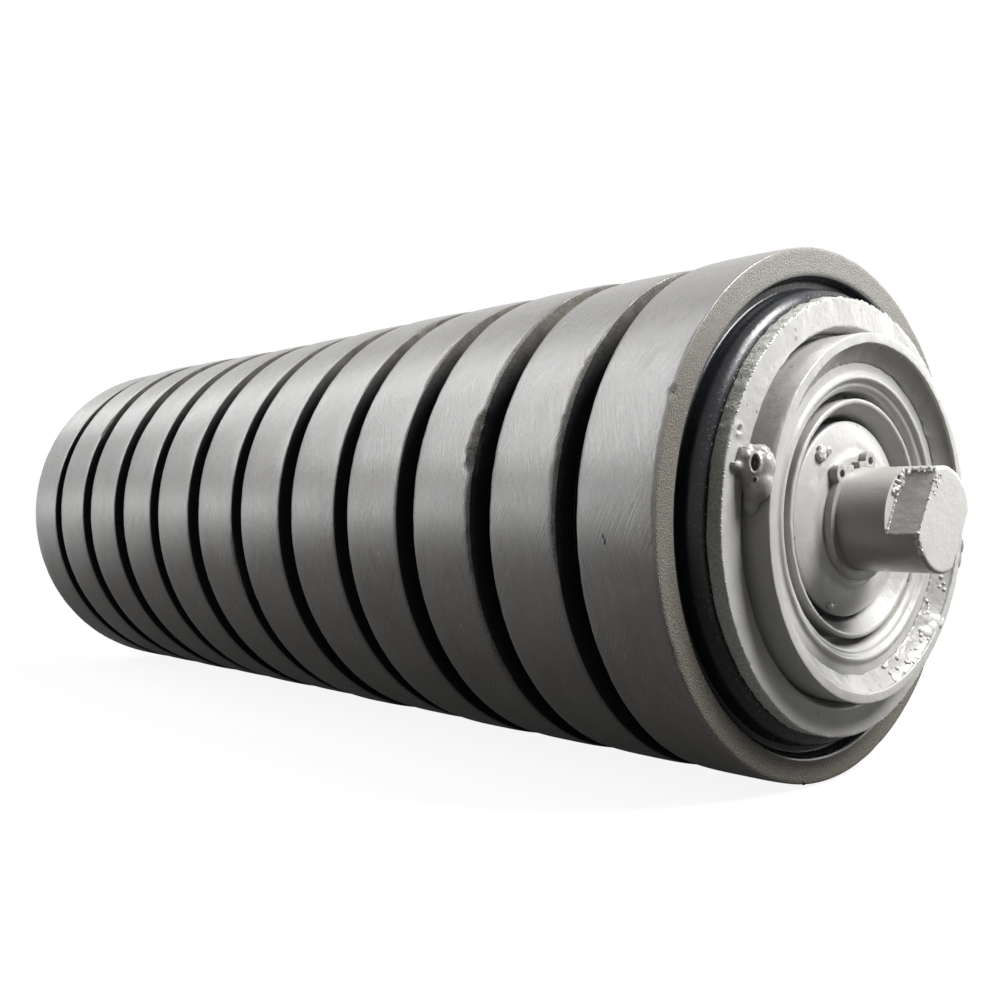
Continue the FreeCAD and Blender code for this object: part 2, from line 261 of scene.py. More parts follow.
def make_groups():
    """Effects that several finishes share. Positions are in millimetres."""
    places = ("Position", "Along", "Radius", "Arc", "Rise")
    graph, given, result = new_group("Roller Place", places)
    position = graph.vector("SCALE", graph.add("TexCoord").outputs["Object"], Scale=1 / MM)[0]
    parts = graph.add("SeparateXYZ", position).outputs
    across = graph.add("CombineXYZ", Y=parts["Y"], Z=parts["Z"]).outputs[0]
    radius = graph.vector("LENGTH", across)["Value"]
    turn = graph.maths("ARCTAN2", parts["Z"], graph.maths("MULTIPLY", parts["Y"], -1.0))
    arc = graph.maths("MULTIPLY", turn, radius)
    rise = graph.maths("DIVIDE", parts["Z"], graph.maths("MAXIMUM", radius, 0.001))
    for label, socket in zip(places, (position, parts["X"], radius, arc, rise)):
        graph.fill(result[label], socket)

    graph, given, result = new_group("Cloud", ("Mask",), Position=None, Size=10.0, Low=0.4, High=0.6)
    scale = graph.maths("DIVIDE", 1.0, given["Size"])
    cloud = graph.add("TexNoise", Vector=given["Position"], Scale=scale, Detail=5.0, Roughness=0.6).outputs[0]
    graph.fill(result["Mask"], graph.between(cloud, given["Low"], given["High"]))

    graph, given, result = new_group("Specks", ("Mask",), Position=None, Size=1.0, Share=0.2)
    scale = graph.maths("DIVIDE", 1.0, given["Size"])
    cells = graph.add("TexVoronoi", Vector=given["Position"], Scale=scale).outputs
    luck = graph.add("SeparateColor", cells["Color"]).outputs
    spot = graph.maths("LESS_THAN", cells["Distance"], graph.maths("MULTIPLY_ADD", luck[1], 0.3, 0.12))
    chosen = graph.maths("LESS_THAN", luck[0], given["Share"])
    graph.fill(result["Mask"], graph.maths("MULTIPLY", spot, chosen))

    graph, given, result = new_group("Turned Grain", ("Height",), Position=None, Pitch=0.4, Length=9.0)
    fine, long = (graph.maths("DIVIDE", 1.0, given[label]) for label in ("Pitch", "Length"))
    stretch = graph.add("CombineXYZ", fine, long, long).outputs[0]
    drawn = graph.vector("MULTIPLY", given["Position"], stretch)[0]
    grain = graph.add("TexNoise", Vector=drawn, Scale=1.0, Detail=4.0, Roughness=0.65).outputs[0]
    graph.fill(result["Height"], grain)

    graph, given, result = new_group("Scratches", ("Height",), Along=0.0, Arc=0.0, Lean=0.6, Pitch=0.3,
                                     Length=12.0)
    sheet = graph.add("CombineXYZ", given["Along"], given["Arc"]).outputs[0]
    leaned = graph.add("VectorRotate", Vector=sheet, Angle=given["Lean"],
                       props={"rotation_type": "Z_AXIS"}).outputs[0]
    fine, long = (graph.maths("DIVIDE", 1.0, given[label]) for label in ("Pitch", "Length"))
    drawn = graph.vector("MULTIPLY", leaned, graph.add("CombineXYZ", fine, long).outputs[0])[0]
    lines = graph.add("TexNoise", Vector=drawn, Scale=1.0, Detail=3.0, Roughness=0.6).outputs[0]
    graph.fill(result["Height"], lines)


def new_finish(name, **constants):
    """A material with one Principled shader; gives the material, its graph and the shader."""
    material = bpy.data.materials.new(name)
    material.use_nodes = True
    surface = material.node_tree.nodes["Principled BSDF"]
    graph = Graph(material.node_tree)
    plug(graph, surface, **constants)
    return material, graph, surface


def plug(graph, surface, **values):
    """Links or sets a shader's inputs."""
    for key, value in values.items():
        graph.fill(surface.inputs[key.replace("_", " ")], value)


def shade(tint, factor):
    """A colour made darker or lighter."""
    return [factor * part for part in tint]


def tread_finish(look):
    """Ground and worn tread: turned grain, slanting scratches, stains, dust, torn edges, and painted shade on
    its lower half.
    """
    material, graph, surface = new_finish("worn_tread_rubber", Specular_IOR_Level=0.9)
    place = graph.group("Roller Place")
    position = place["Position"]
    grain = graph.grain(position, 0.35, 9.0)
    streaks = graph.grain(position, 1.6, 60.0)
    strokes = [graph.group("Scratches", Along=place["Along"], Arc=place["Arc"], Lean=lean, Pitch=0.55,
                           Length=15.0)["Height"] for lean in (0.5, -0.35)]
    scratch = graph.ranged(graph.cloud(position, 16.0, 0.38, 0.62), *strokes)
    split = graph.add("Attribute", props={"attribute_name": "torn"}).outputs["Fac"]
    crumbs = graph.cloud(position, 0.55, 0.3, 0.7)
    ragged = graph.total((split, 1.0), (graph.maths("SUBTRACT", crumbs, 0.5), 0.4))
    torn = graph.between(ragged, 0.02, 0.12)
    worn = graph.maths("MULTIPLY", graph.between(split, -0.5, -0.05), graph.between(split, 0.06, 0.0))
    base = graph.layered(
        look.tread,
        (graph.cloud(position, 24.0, 0.45, 0.68), 0.55, look.stain),
        (graph.cloud(position, 13.0, 0.52, 0.75), 0.3, (0.2, 0.19, 0.175)),
        (graph.cloud(position, 7.0, 0.5, 0.8), 0.25, look.stain),
        # painted shade: the stain colour laid over the tread's lower half, darker towards the bottom
        (graph.between(place["Rise"], 0.05, -0.75), 0.5, look.stain),
        (graph.between(streaks, 0.35, 0.75), 0.14, (0.25, 0.243, 0.233)),
        (graph.between(scratch, 0.52, 0.72), 0.2, (0.28, 0.272, 0.258)),
        (graph.specks(position, 1.5, 0.015), 0.4, (0.3, 0.29, 0.275)),
        (graph.specks(position, 1.7, 0.012), 0.6, (0.07, 0.065, 0.06)),
        (worn, 0.2, (0.25, 0.242, 0.228)))
    base = graph.blend(torn, base, graph.blend(crumbs, shade(look.torn, 0.55), shade(look.torn, 1.9)))
    rough = graph.add("MapRange", scratch, 0.3, 0.7, 0.22, 0.42).outputs[0]
    height = graph.total((grain, 0.7), (scratch, 1.7), (streaks, 0.4),
                         (graph.maths("MULTIPLY", torn, crumbs), 4.0))
    plug(graph, surface, Base_Color=base, Roughness=graph.total((rough, 1.0), (torn, 0.35)),
         Normal=graph.bump(height, 0.1 * MM, 0.6))
    return material


def face_finish(look):
    """Rough, gritty side face of a ring, with painted light towards its top and painted glints."""
    material, graph, surface = new_finish("gritty_face_rubber", Specular_IOR_Level=0.35)
    place = graph.group("Roller Place")
    position = place["Position"]
    grit = graph.cloud(position, 0.42, 0.35, 0.7)
    base = graph.layered(
        graph.blend(grit, shade(look.face, 0.6), look.face),
        (graph.cloud(position, 14.0, 0.35, 0.7), 0.5, (0.155, 0.14, 0.108)),
        # painted light: the face made lighter towards its top
        (graph.between(place["Rise"], 0.3, 1.0), 0.6, (0.27, 0.262, 0.245)),
        # painted glints: pale yellowish specks that stand for sparkles of light on the grit
        (graph.specks(position, 0.8, 0.22), 0.6, (0.5, 0.465, 0.38)))
    plug(graph, surface, Base_Color=base, Roughness=graph.ranged(grit, 0.75, 0.5),
         Normal=graph.bump(grit, 0.17 * MM, 0.8))
    return material


def gap_finish(look):
    """Side face between two rings, painted near black as painted shade, with patchy painted light where it
    faces up.
    """
    material, graph, surface = new_finish("shaded_face_rubber", Specular_IOR_Level=0.15)
    place = graph.group("Roller Place")
    grit = graph.cloud(place["Position"], 0.8, 0.35, 0.7)
    patchy_top_light = graph.cloud(place["Position"], 5.0, 0.3, 0.7)
    upward = graph.between(place["Rise"], 0.4, 1.0)
    # painted shade: the near-black groove colour stands for the shade between the rings; painted light:
    # patches of the face colour where the face looks up
    base = graph.layered(look.groove, (upward, graph.ranged(patchy_top_light, 0.35, 0.75), look.face))
    plug(graph, surface, Base_Color=base, Roughness=graph.ranged(grit, 0.8, 0.6),
         Normal=graph.bump(grit, 0.15 * MM, 0.6))
    return material


def groove_finish(look):
    """Moulded, shiny rubber of the grooves and hubs, with enamel overspray next to the collars."""
    material, graph, surface = new_finish("moulded_groove_rubber", Specular_IOR_Level=0.25)
    place = graph.group("Roller Place")
    position = place["Position"]
    edge = (COLLAR_LOW.x - 5 * MM) / MM
    reach = graph.between(graph.maths("ABSOLUTE", place["Along"]), edge, edge + 5.5)
    low = graph.between(place["Radius"], COLLAR_HIGH.z / MM + 3.5, COLLAR_HIGH.z / MM)
    spray = graph.maths("MULTIPLY", graph.specks(position, 0.55, 0.5), graph.maths("MULTIPLY", reach, low))
    base = graph.layered(
        look.groove,
        (graph.cloud(position, 3.0, 0.5, 0.8), 0.12, look.stain),
        (spray, 0.55, (0.3, 0.3, 0.28)))
    rough = graph.ranged(graph.cloud(position, 9.0, 0.3, 0.7), 0.16, 0.34)
    pores = graph.cloud(position, 0.7, 0.4, 0.7)
    plug(graph, surface, Base_Color=base, Roughness=rough, Normal=graph.bump(pores, 0.03 * MM, 0.4))
    return material


def enamel_finish(look, name, tint, holes, soot=0.25, bar=0.0):
    """Glossy brushed-on enamel: waves, orange peel, pinholes, soot near the welds, and painted shade on the
    lower side of a bar.
    """
    material, graph, surface = new_finish(name, Coat_Roughness=0.12)
    place = graph.group("Roller Place")
    position = place["Position"]
    waves = graph.cloud(position, 4.5, 0.2, 0.8)
    peel = graph.cloud(position, 0.8, 0.25, 0.75)
    tone = graph.cloud(position, 17.0, 0.35, 0.7)
    layers = [(tone, 0.3, shade(tint, 0.82)),
              (graph.cloud(position, 5.0, 0.55, 0.85), soot, look.soot),
              (graph.specks(position, 1.6, holes), 0.6, look.soot)]
    # painted shade: the soot colour laid on the lower side of a bar's round, beyond the flats
    if bar:
        beyond = graph.maths("GREATER_THAN", place["Radius"], bar / MM)
        under = graph.maths("MULTIPLY", beyond, graph.between(place["Rise"], 0.5, -0.05))
        layers.append((under, 0.8, look.soot))
    plug(graph, surface, Base_Color=graph.layered(tint, *layers), Roughness=graph.ranged(waves, 0.28, 0.42),
         Coat_Weight=graph.ranged(tone, 0.35, 0.12),
         Normal=graph.bump(graph.total((waves, 0.8), (peel, 0.25)), 0.16 * MM, 0.6))
    return material


def overspray_finish():
    """Thin, dusty coat of enamel on the rim of a collar."""
    material, graph, surface = new_finish("thin_overspray")
    position = graph.group("Roller Place")["Position"]
    grit = graph.cloud(position, 0.6, 0.35, 0.65)
    base = graph.layered(
        graph.blend(grit, (0.36, 0.367, 0.33), (0.56, 0.565, 0.52)),
        (graph.cloud(position, 4.0, 0.45, 0.75), 0.4, (0.15, 0.15, 0.135)))
    plug(graph, surface, Base_Color=base, Roughness=graph.ranged(grit, 0.6, 0.42),
         Normal=graph.bump(grit, 0.12 * MM, 0.7))
    return material


def inner_finish(name, tint, metallic, gloss):
    """Turned or moulded surface of a piece inside the bearing end."""
    material, graph, surface = new_finish(name, Metallic=metallic)
    position = graph.group("Roller Place")["Position"]
    grain = graph.grain(position, 0.2, 14.0)
    base = graph.layered(tint, (graph.cloud(position, 6.0, 0.35, 0.75), 0.35, shade(tint, 0.7)))
    rough = graph.add("MapRange", grain, 0.3, 0.7, gloss, gloss + 0.15).outputs[0]
    plug(graph, surface, Base_Color=base, Roughness=rough, Normal=graph.bump(grain, 0.02 * MM, 0.4))
    return material


def finish(name):
    """The material of that name, made when it is first asked for."""
    look = bpy.context.scene.roller_finish
    if not bpy.data.node_groups.get("Roller Place"):
        make_groups()
    bar = SHAFT_HIGH.z - 0.2 * MM
    makers = {
        "worn_tread_rubber": lambda: tread_finish(look),
        "gritty_face_rubber": lambda: face_finish(look),
        "shaded_face_rubber": lambda: gap_finish(look),
        "moulded_groove_rubber": lambda: groove_finish(look),
        "glossy_enamel": lambda: enamel_finish(look, name, look.enamel, 0.025),
        # the shaft's enamel carries painted shade on the lower side of its round
        "shaft_enamel": lambda: enamel_finish(look, name, look.shaft, 0.004, bar=bar),
        "weld_enamel": lambda: enamel_finish(look, name, look.weld, 0.04, 0.7),
        "spatter_enamel": lambda: enamel_finish(look, name, look.enamel, 0.1, 0.5),
        "thin_overspray": overspray_finish,
        "ground_steel": lambda: inner_finish(name, look.steel, 1.0, 0.16),
        "pressed_cage_steel": lambda: inner_finish(name, look.cage, 1.0, 0.3),
        "seal_plastic": lambda: inner_finish(name, look.plastic, 0.0, 0.42),
    }
    return bpy.data.materials.get(name) or makers[name]()


def at(x, radius, turn):
    """Point at a radius from the axis; a turn of 0 faces the front and a quarter turn is up."""
    return Vector((x, -radius * math.cos(turn), radius * math.sin(turn)))


def lumps(point, size, seed=0):
    """Smooth noise between -1 and 1 whose lumps are about size across."""
    return noise.noise(Vector(point) / size + Vector((7.3, 3.1, 5.7)) * seed)


def bell(turn, angle, width, abrupt=2):
    """1 at an angle in degrees, fading to 0 about two widths away, or within a width where it is abrupt."""
    away = (math.degrees(turn) - angle + 180) % 360 - 180
    return math.exp(-(away / width) ** abrupt)


# A turned mesh is one sector, copied round the axis; its roundings have this many steps
SECTORS = 20
ROUND_STEPS = 4
MERGE_DISTANCE = 0.001 * MM
SHARP_ANGLE = math.radians(50)


def turned(corners, segments, spacing, shows):
    """Mesh turned about the roller's axis from (x, radius, rounding) corners, fine where shows(x, radius)."""
    bm = bmesh.new()
    verts = [bm.verts.new(at(x, radius, 0)) for x, radius, rounding in corners]
    for first, second in zip(verts, verts[1:] + verts[:1]):
        bm.edges.new((first, second))
    for vert, (x, radius, rounding) in zip(verts, corners):
        if rounding:
            bmesh.ops.bevel(bm, geom=[vert], offset=rounding, offset_type="OFFSET", affect="VERTICES",
                            segments=ROUND_STEPS, profile=0.5, material=-1)
    for edge in bm.edges[:]:
        middle = (edge.verts[0].co + edge.verts[1].co) / 2
        cuts = int(edge.calc_length() / spacing)
        if cuts and shows(middle.x, -middle.y):
            bmesh.ops.subdivide_edges(bm, edges=[edge], cuts=cuts)
    sector = math.tau / SECTORS
    bmesh.ops.spin(bm, geom=bm.verts[:] + bm.edges[:], cent=(0, 0, 0), axis=(1, 0, 0), angle=sector,
                   steps=segments // SECTORS)
    bmesh.ops.spin(bm, geom=bm.verts[:] + bm.edges[:] + bm.faces[:], cent=(0, 0, 0), axis=(1, 0, 0),
                   angle=math.tau - sector, steps=SECTORS - 1, use_duplicate=True)
    bmesh.ops.remove_doubles(bm, verts=bm.verts[:], dist=MERGE_DISTANCE)
    bmesh.ops.recalc_face_normals(bm, faces=bm.faces[:])
    return bm


def sculpt(bm, shape):
    """Moves each vertex to the (x, radius) that shape(point, x, radius, turn) gives."""
    for vert in bm.verts:
        x, radius, turn = vert.co.x, math.hypot(vert.co.y, vert.co.z), math.atan2(vert.co.z, -vert.co.y)
        x, radius = shape(at(x, radius, turn), x, radius, turn)
        vert.co = at(x, radius, turn)


def add_drop(bm, place, radius, flat=1.0, facing=Vector((1, 0, 0))):
    """A drop of weld or paint sunk half into the surface at a place, flattened along its facing."""
    turn = facing.to_track_quat("Z", "Y").to_matrix().to_4x4()
    matrix = Matrix.Translation(place) @ turn @ Matrix.Diagonal((1, 1, flat, 1))
    bmesh.ops.create_icosphere(bm, subdivisions=2, radius=radius, matrix=matrix)


def add_lobe(bm, x, radius, angle, halves, subdivisions):
    """A rounded lump with half sizes along, round and out, in mm, at an angle in degrees."""
    turn = math.radians(angle)
    along, around, out = (half * MM for half in halves)
    place = Matrix.Translation(at(x * MM, radius * MM, turn)) @ Matrix.Rotation(-turn, 4, "X")
    bmesh.ops.create_icosphere(bm, subdivisions=subdivisions, radius=1,
                               matrix=place @ Matrix.Diagonal((along, out, around, 1)))


def join(bm, other):
    """Adds another mesh to a mesh."""
    mesh = bpy.data.meshes.new("joined")
    other.to_mesh(mesh)
    other.free()
    bm.from_mesh(mesh)
    bpy.data.meshes.remove(mesh)


def half_turn(bm, axis):
    """Turns a mesh round by half a turn."""
    bmesh.ops.rotate(bm, cent=(0, 0, 0), matrix=Matrix.Rotation(math.pi, 3, axis), verts=bm.verts[:])


def to_end(bm, end):
    """Turns a right-hand piece round for the left-hand end."""
    if end == "left":
        half_turn(bm, "Z")


def smoothed(bm, times=1):
    """Evens out the lumps of a mesh."""
    for _ in range(times):
        bmesh.ops.smooth_vert(bm, verts=bm.verts[:], factor=0.5, use_axis_x=True, use_axis_y=True,
                              use_axis_z=True)


def painted(bm, index):
    """Gives all of a mesh one of its piece's finishes."""
    for face in bm.faces:
        face.material_index = index


def new_piece(bm, name, finishes, body, slot, *nodes):
    """Makes a smooth-shaded piece, rides it on its body and lets it stand for its nodes."""
    mesh = bpy.data.meshes.new(name)
    bm.to_mesh(mesh)
    bm.free()
    for finish_name in finishes:
        mesh.materials.append(finish(finish_name))
    mesh.shade_smooth()
    mesh.set_sharp_from_angle(angle=SHARP_ANGLE)
    piece = bpy.data.objects.new(name, mesh)
    bpy.context.scene.collection.objects.link(piece)
    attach(piece, body)
    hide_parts(*nodes)


def new_ends(make, name, finishes, body, slot, node):
    """Makes a piece for each end, the left one turned round; make(seed) gives the right-hand mesh."""
    for seed, end in enumerate(ENDS):
        bm = make(seed)
        to_end(bm, end)
        new_piece(bm, name + end, finishes, body, slot, node + end)


RING_FINISHES = ("worn_tread_rubber", "gritty_face_rubber", "shaded_face_rubber", "moulded_groove_rubber",
                 "glossy_enamel")
TREAD, FACE, GAP, GROOVE, ENAMEL = range(5)
# Torn places on the rings' near edges: ring number, then (angle, half width in degrees, depth)
SEEN_TEARS = {
    1: [(24.5, 1.0, 0.8 * MM), (-27, 2.5, 0.5 * MM)],
    2: [(13, 24, 1.2 * MM)],
    3: [(17, 7, 2.6 * MM), (-2, 13, 1.0 * MM), (-26, 13, 0.8 * MM), (42, 18, 0.8 * MM)],
    4: [(40, 8, 0.6 * MM)],
    5: [(62, 4, 0.9 * MM)],
    7: [(-14, 8, 0.9 * MM)],
    11: [(33, 5, 1.1 * MM)],
}
TEARS_PER_RING = 4
# Height of a torn edge over its width, and how far from an edge the rubber can be torn
TEAR_SLOPE = 1.2
EDGE_ZONE = 5 * MM
# Nicks in the near ring's tread and face: (x, radius, angle, half sizes along, round and out), in mm
NICKS = ((162.4, 66.3, -4, 0.5, 1.3, 0.35), (161.9, 66.4, -3, 0.35, 0.8, 0.3),
         (176.4, 65.6, -82, 0.5, 0.8, 0.6))
# Drips of enamel on the near rings: ring number, x and angle, radius in mm
DRIPS = ((1, 166.0, 58.6, 0.95), (1, 160.5, 70, 0.3), (2, 128.5, 48, 0.35), (3, 104.8, 22, 0.4),
         (4, 77, 35, 0.3))


def ring_tears(number):
    """Torn places of a ring, as (side, angle, half width in degrees, depth)."""
    luck = random.Random(number)
    tears = [(luck.choice((-1, 1)), luck.uniform(105, 280), luck.uniform(3, 9), luck.uniform(0.5, 1.6) * MM)
             for _ in range(TEARS_PER_RING)]
    return tears + [(1, *tear) for tear in SEEN_TEARS.get(number, [])]


def spots(size, number):
    """Nicks and drips of enamel on a ring."""
    bm = bmesh.new()
    for ring, x, angle, radius in DRIPS:
        if ring == number:
            turn = math.radians(angle)
            add_drop(bm, at(x * MM, size.radius, turn), radius * MM, 0.25, at(0, 1, turn))
    painted(bm, ENAMEL)
    if number == 1:
        cuts = bmesh.new()
        for x, radius, angle, *halves in NICKS:
            add_lobe(cuts, x, radius, angle, halves, 2)
        painted(cuts, GROOVE)
        join(bm, cuts)
    return bm


def rubber_ring(size, number):
    """One rubber ring, with worn and torn edges, in its place on the tube."""
    low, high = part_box("rubber_ring_%02d" % number)
    middle = (low.x + high.x) / 2
    half = size.tread_width / 2
    floor = half - size.groove_depth
    face_radius = size.radius - size.face_width
    hub_radius = face_radius - size.groove_width
    hub_half = size.pitch / 2
    side = [(half, size.radius, 0.35 * MM), (half, face_radius, 1.2 * MM)]
    side += [(floor, face_radius - 0.75 * MM, 0.5 * MM), (floor, hub_radius, 0.8 * MM)]
    side += [(hub_half, hub_radius, size.shoulder_round), (hub_half, TUBE_HIGH.z, 0)]
    corners = [(middle + x, radius, rounding) for x, radius, rounding in side]
    corners += [(middle - x, radius, rounding) for x, radius, rounding in reversed(side)]
    bm = turned(corners, size.segments, 0.95 * MM, lambda x, radius: radius > face_radius - 0.1 * MM)
    outward = {1: 1, RING_COUNT: -1}.get(number, 0)
    for face in bm.faces:
        centre = face.calc_center_median()
        radius = math.hypot(centre.y, centre.z)
        if radius < face_radius + 0.25 * MM:
            face.material_index = GROOVE
        elif abs(centre.x - middle) > half - 0.12 * MM:
            # side faces that look into a gap get the near-black gap finish, which is painted shade
            face.material_index = FACE if (centre.x - middle) * outward > 0 else GAP
        else:
            face.material_index = TREAD
    torn = bm.verts.layers.float.new("torn")
    tears = ring_tears(number)
    luck = random.Random(number + 100)
    grown = luck.uniform(-0.25, 0.2) * MM
    lean = luck.uniform(0, math.tau)
    for vert in bm.verts:
        x, turn = vert.co.x - middle, math.atan2(vert.co.z, -vert.co.y)
        radius = math.hypot(vert.co.y, vert.co.z)
        if radius < face_radius + 0.5 * MM:
            continue
        sign = 1 if x > 0 else -1
        rip = 0
        vert[torn] = -1.0
        if abs(x) > half - EDGE_ZONE and radius > size.radius - EDGE_ZONE:
            for tear_side, angle, width, tear in tears:
                if tear_side == sign:
                    rip = max(rip, tear * bell(turn, angle, width, 8))
            uneven = 0.35 * lumps(vert.co, 3.5 * MM, number + 20) + 0.3 * lumps(vert.co, 1.0 * MM, number)
            rip *= max(0.2, 1 + uneven)
            depth = size.edge_wear + rip + max(0.0, lumps(vert.co, 5 * MM, number)) * size.tear
            down = depth * TEAR_SLOPE
            beyond = (abs(x) - half + depth) / depth + (radius - size.radius + down) / down - 1
            if rip > 0.25 * MM:
                vert[torn] = max(-1.0, min(1.0, beyond * rip / MM))
            if beyond > 0:
                x -= sign * depth * beyond / 2
                radius -= down * beyond / 2
                radius += rip * 0.14 * lumps(vert.co, 1.2 * MM, number + 40)
        upper = max(0.0, (radius - face_radius) / size.face_width)
        wobble = 0.2 * MM * math.cos(turn - lean) + 0.1 * MM * lumps(vert.co, 35 * MM, number)
        radius += upper * (grown + wobble)
        radius -= upper * 0.3 * MM * (x / half) ** 4
        vert.co = at(middle + x, radius, turn)
    join(bm, spots(size, number))
    return bm


class ROLLER_OT_rubber_rings(bpy.types.Operator):
    """Models the rubber rings with worn treads, gritty faces and torn edges"""
    bl_idname = "roller.rubber_rings"
    bl_label = "Rubber Rings"

    def execute(self, context):
        for number in range(1, RING_COUNT + 1):
            bm = rubber_ring(context.scene.roller_rings, number)
            new_piece(bm, "worn_ring_%02d" % number, RING_FINISHES, "roller", "rubber",
                      "rubber_ring_%02d" % number)
        return {"FINISHED"}


# Beads of slag along the rim of a collar
BEAD_COUNT = 300


def end_collar(size, seed):
    """Flame-cut ring at the end of the stack, with a ragged rim and an open weld gap."""
    front = COLLAR_HIGH.x
    bore = TUBE_HIGH.z + size.collar_gap
    rim = COLLAR_HIGH.z
    corners = [(COLLAR_LOW.x, bore, 0), (COLLAR_LOW.x, rim, 0.3 * MM), (front, rim, 0.5 * MM)]
    corners += [(front, bore + size.collar_bevel, 0.5 * MM), (front - 3 * MM, bore, 0.3 * MM)]
    bm = turned(corners, size.segments + 80, 0.6 * MM, lambda x, radius: x > COLLAR_LOW.x + 0.1 * MM)
    for face in bm.faces:
        centre = face.calc_center_median()
        if math.hypot(centre.y, centre.z) > rim - 0.2 * MM and centre.x < front - 0.3 * MM:
            face.material_index = 1

    def shape(point, x, radius, turn):
        forward = (x - COLLAR_LOW.x) / (front - COLLAR_LOW.x)
        outer = max(0.0, (radius - bore) / (rim - bore))
        drag = at(x * 0.3, radius, turn)
        cut = bell(turn, 92, 32) + 0.35 * bell(turn, 250, 45)
        radius += outer ** 4 * (0.18 + 0.75 * cut) * MM * lumps(drag, 1.9 * MM, seed)
        radius += outer ** 4 * 0.3 * MM * lumps(point, 12 * MM, seed + 3)
        open_gap = bell(turn, 64, 26) * (0.8 + 0.5 * lumps(point, 2.5 * MM, seed + 5))
        radius += (1 - outer) ** 5 * (0.5 + 0.5 * forward) * 1.7 * MM * open_gap
        ripple = size.ripple * lumps(point, 6 * MM, seed + 7) + 0.05 * MM * lumps(point, 1.5 * MM, seed)
        x += forward * ripple
        rim_edge = outer ** 12 * forward ** 4
        x += rim_edge * 0.22 * MM * max(0, lumps(point, 0.9 * MM, seed + 9))
        return x, radius

    sculpt(bm, shape)
    pit = at(front, rim - 2.2 * MM, math.radians(22.5))
    for vert in bm.verts:
        away = (vert.co - pit).length / MM
        if away < 3:
            vert.co.x += 0.5 * MM * math.exp(-((away - 1.1) / 0.5) ** 2)
            vert.co.x -= 0.7 * MM * math.exp(-(away / 0.7) ** 2)
    beads = bmesh.new()
    luck = random.Random(seed)
    for index in range(BEAD_COUNT):
        turn = math.tau * (index + luck.uniform(-0.4, 0.4)) / BEAD_COUNT
        add_drop(beads, at(front - 0.12 * MM, rim - 0.25 * MM, turn), luck.uniform(0.1, 0.3) * MM, 0.8)
    join(bm, beads)
    return bm


class ROLLER_OT_end_collars(bpy.types.Operator):
    """Models the flame-cut collars that hold the rings on the tube"""
    bl_idname = "roller.end_collars"
    bl_label = "End Collars"

    def execute(self, context):
        new_ends(lambda seed: end_collar(context.scene.roller_steel, seed), "flame_cut_collar_",
                 ("glossy_enamel", "thin_overspray"), "roller", "painted_steel", "end_collar_")
        return {"FINISHED"}


# Lobes of a tack weld: (angle in degrees, x and radius, half sizes along, round and out), in mm
TACK_LOBES = (
    (14.2, 185.9, 45.6, 3.6, 4.6, 3.4), (16.8, 184.6, 47.6, 2.3, 3.2, 2.6),
    (14.6, 188.0, 45.0, 2.4, 4.0, 2.6), (13.6, 184.5, 49.4, 1.1, 1.2, 2.4),
    (13.4, 184.2, 51.0, 0.8, 0.9, 1.1), (18.8, 186.4, 45.4, 2.4, 1.9, 2.4),
    (9.8, 187.0, 45.3, 3.6, 4.2, 2.4), (5.6, 185.6, 44.9, 2.2, 3.4, 1.7),
)
# Craters in it: (angle, x and radius of the mouth, half width, half height, depth), in mm
TACK_CRATERS = ((14.8, 187.7, 48.2, 0.75, 1.5, 3.0), (10.6, 187.7, 47.4, 0.28, 0.36, 0.9),
                (14.6, 184.4, 51.2, 0.35, 0.35, 0.6))
CRATER_FACING = Vector((0.58, -0.81, 0.05))
# Height of the tack on the far side of the tube, as a share of the near one's
TWIN_HEIGHT = 0.15


def merged(bm, voxel):
    """Joins overlapping lumps into one smooth skin."""
    mesh = bpy.data.meshes.new("lumps")
    bm.to_mesh(mesh)
    lump = bpy.data.objects.new("lumps", mesh)
    bpy.context.scene.collection.objects.link(lump)
    remesh = lump.modifiers.new("skin", "REMESH")
    remesh.mode = "VOXEL"
    remesh.voxel_size = voxel
    skin = bpy.data.meshes.new_from_object(lump.evaluated_get(bpy.context.evaluated_depsgraph_get()))
    bm.clear()
    bm.from_mesh(skin)
    bpy.data.objects.remove(lump)
    bpy.data.meshes.remove(mesh)
    bpy.data.meshes.remove(skin)


def tack_weld(seed):
    """Two tacks between collar and tube, each a smooth run of weld with craters where gas escaped."""
    bm = bmesh.new()
    for angle, x, radius, *halves in TACK_LOBES:
        add_lobe(bm, x, radius, angle, halves, 4)
    merged(bm, 0.28 * MM)
    smoothed(bm, 8)
    bm.normal_update()
    facing = CRATER_FACING.normalized()
    upward = Vector((0, 0, 1))
    craters = [(at(x * MM, radius * MM, math.radians(angle)), width * MM, height * MM, depth * MM)
               for angle, x, radius, width, height, depth in TACK_CRATERS]
    for vert in bm.verts:
        top = max(0.0, min(1.0, (vert.co.z - 11 * MM) / (4 * MM)))
        rough = lumps(vert.co, 2.2 * MM, seed) + 0.5 * lumps(vert.co, 0.9 * MM, seed)
        vert.co += vert.normal * (0.05 + 0.3 * top) * MM * rough
        for centre, width, height, depth in craters:
            offset = vert.co - centre
            offset -= facing * offset.dot(facing)
            sideways = (offset - upward * offset.z).length / width
            away = math.hypot(sideways, offset.z / height)
            lip = 0.3 * MM * math.exp(-((away - 1.5) / 0.45) ** 2)
            vert.co += facing * (lip - depth * math.exp(-away ** 4))
    twin = bm.copy()
    tube = TUBE_HIGH.z
    sculpt(twin, lambda point, x, radius, turn: (x, min(radius, tube + TWIN_HEIGHT * (radius - tube))))
    half_turn(twin, "X")
    join(bm, twin)
    return bm


